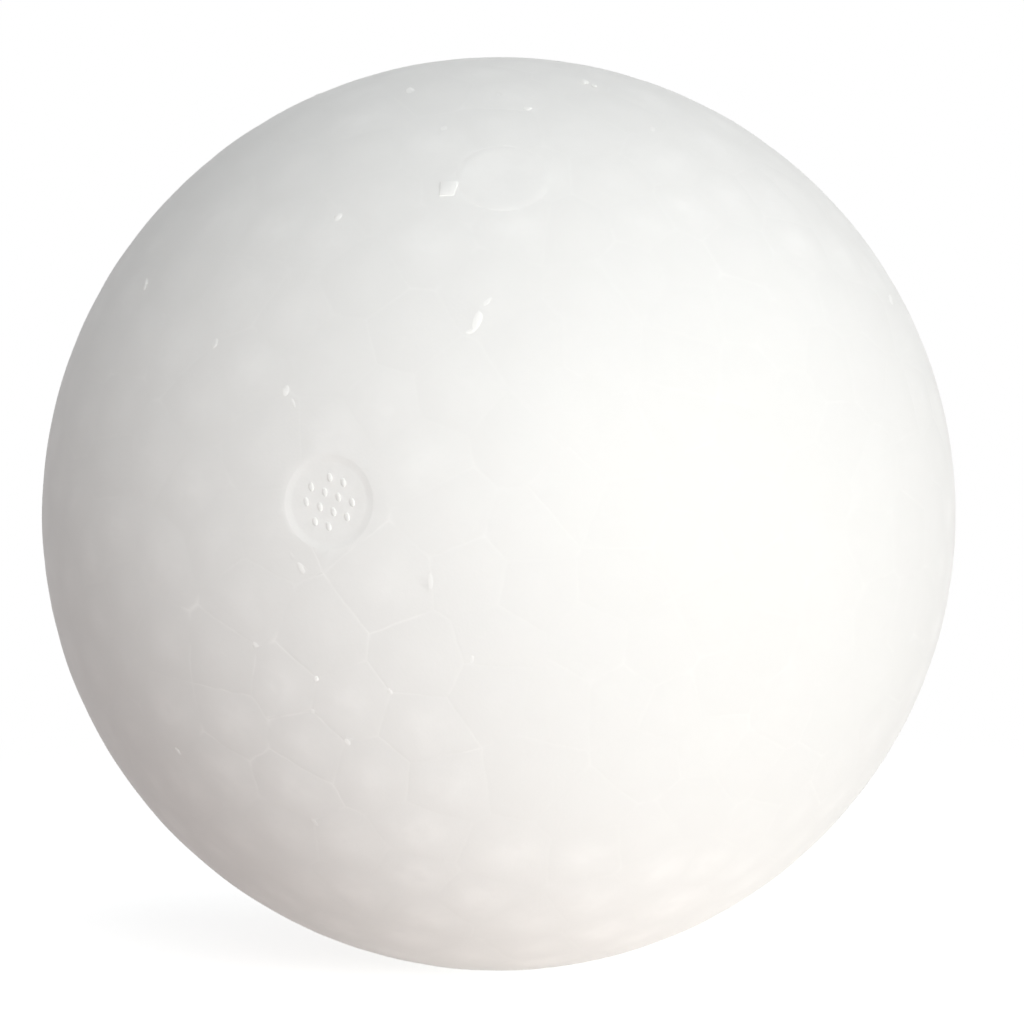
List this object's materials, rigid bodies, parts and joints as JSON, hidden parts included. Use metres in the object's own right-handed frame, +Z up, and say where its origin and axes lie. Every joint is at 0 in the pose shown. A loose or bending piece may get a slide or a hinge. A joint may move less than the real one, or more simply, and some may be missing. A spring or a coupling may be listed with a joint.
{
  "type": "polystyrene ball",
  "caption": "Plain white craft ball moulded from fused foam beads, bare, with round marks left by the vents of its mould.",
  "frame": {"origin": "centre of the ball", "axes": "+Z up and -Y towards the viewer of the picture, so the vent mark with pips is on the -Y side, a little to -X, and the flat vent mark is above it; the middle of a bead faces straight down"},
  "size_m": [0.0598, 0.0598, 0.0599],
  "materials": {
    "foam": "matte, with faint seams between beads"
  },
  "bodies": {
    "root": {"ball": "foam"}
  },
  "joints": []
}
